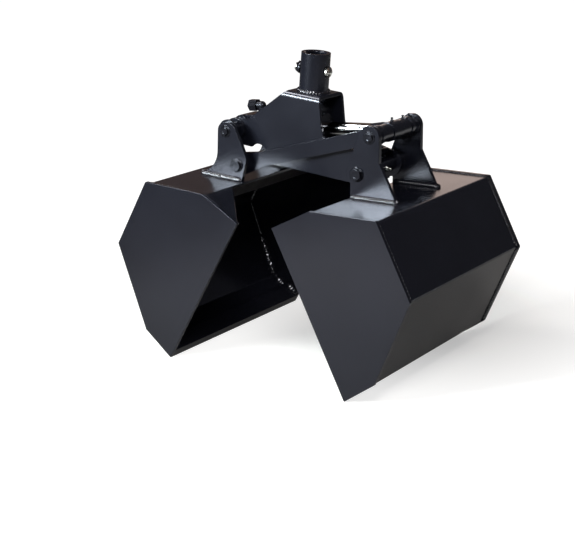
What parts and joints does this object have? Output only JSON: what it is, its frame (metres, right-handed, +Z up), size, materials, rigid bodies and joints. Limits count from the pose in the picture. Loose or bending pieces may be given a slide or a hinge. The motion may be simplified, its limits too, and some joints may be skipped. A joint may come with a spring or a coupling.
{
  "type": "clamshell bucket",
  "caption": "Hydraulic clamshell bucket with twin jaws on eared pivots, channel frame, rotator collar, link bars and cylinder, standing half open.",
  "frame": {"origin": "centre of the footprint, at the height of the two cutting edges that it stands on", "axes": "+Z up, +X from the left jaw to the right jaw, +Y along the bucket away from the pictured side"},
  "size_m": [0.828, 0.55, 0.7437],
  "materials": {
    "black_paint": "semi-gloss",
    "weld_bead": "rough painted weld",
    "steel": "blackened",
    "zinc": "zinc plated",
    "chrome": "hard chrome"
  },
  "bodies": {
    "head": {"frame_channel": "black_paint", "rotator_collar": "black_paint", "collar_weld": "weld_bead", "collar_bolt": "zinc", "collar_nut": "steel", "left_boss_near": "black_paint", "left_boss_far": "black_paint", "right_pivot_tube": "black_paint", "frame_brace": "black_paint", "grease_nipple": "zinc"},
    "right_jaw": {"right_shell": "black_paint", "right_end_near": "black_paint", "right_end_far": "black_paint", "right_edge": "black_paint", "right_lip": "black_paint", "right_gusset_near": "black_paint", "right_gusset_far": "black_paint", "right_ear_near": "black_paint", "right_ear_far": "black_paint", "right_ear_welds": "weld_bead", "right_low_bolt": "steel", "right_low_nut": "steel", "right_thrust_rings": "black_paint", "right_high_pin": "steel", "right_high_clips": "steel", "right_high_spacers": "black_paint"},
    "left_jaw": {"left_shell": "black_paint", "left_end_near": "black_paint", "left_end_far": "black_paint", "left_edge": "black_paint", "left_lip": "black_paint", "left_gusset_near": "black_paint", "left_gusset_far": "black_paint", "left_ear_near": "black_paint", "left_ear_far": "black_paint", "left_ear_welds": "weld_bead", "left_low_bolt": "steel", "left_low_nut": "steel", "left_low_spacers": "black_paint", "left_high_pin": "steel", "left_high_clips": "steel", "left_high_spacers": "black_paint"},
    "link_bars": {"link_near": "black_paint", "link_far": "black_paint", "link_cross_tube": "black_paint"},
    "barrel": {"barrel": "black_paint", "base_cap": "black_paint", "gland": "steel", "supply_port": "steel"},
    "rod": {"rod": "chrome", "rod_end_eye": "black_paint", "piston": "steel"}
  },
  "joints": [
    {"name": "right_jaw_hinge", "type": "hinge", "parent": "head", "child": "right_jaw", "pos_m": [0.16863, 0, 0.48624], "axis": [0, 1, 0], "range_deg": [-5, 32.1]},
    {"name": "left_jaw_hinge", "type": "hinge", "parent": "head", "child": "left_jaw", "pos_m": [-0.20908, 0, 0.54504], "axis": [0, -1, 0], "range_deg": [-3.9, 24.96]},
    {"name": "link_hinge", "type": "hinge", "parent": "left_jaw", "child": "link_bars", "pos_m": [-0.17511, 0, 0.46427], "axis": [0, 1, 0], "range_deg": [-5.05, 32.31]},
    {"name": "barrel_hinge", "type": "hinge", "parent": "head", "child": "barrel", "pos_m": [-0.20908, 0, 0.54504], "axis": [0, 1, 0], "range_deg": [-0.65, 4.04]},
    {"name": "rod_slide", "type": "slide", "parent": "barrel", "child": "rod", "axis": [0.9973, 0, 0.0733], "range_m": [-0.00675, 0.04281]}
  ],
  "couplings": [
    {"joint": "left_jaw_hinge", "follows": "right_jaw_hinge", "ratio": 0.77707},
    {"joint": "link_hinge", "follows": "right_jaw_hinge", "ratio": 1.006},
    {"joint": "barrel_hinge", "follows": "right_jaw_hinge", "ratio": 0.1252},
    {"joint": "rod_slide", "follows": "right_jaw_hinge", "m_per_rad": 0.07624}
  ]
}
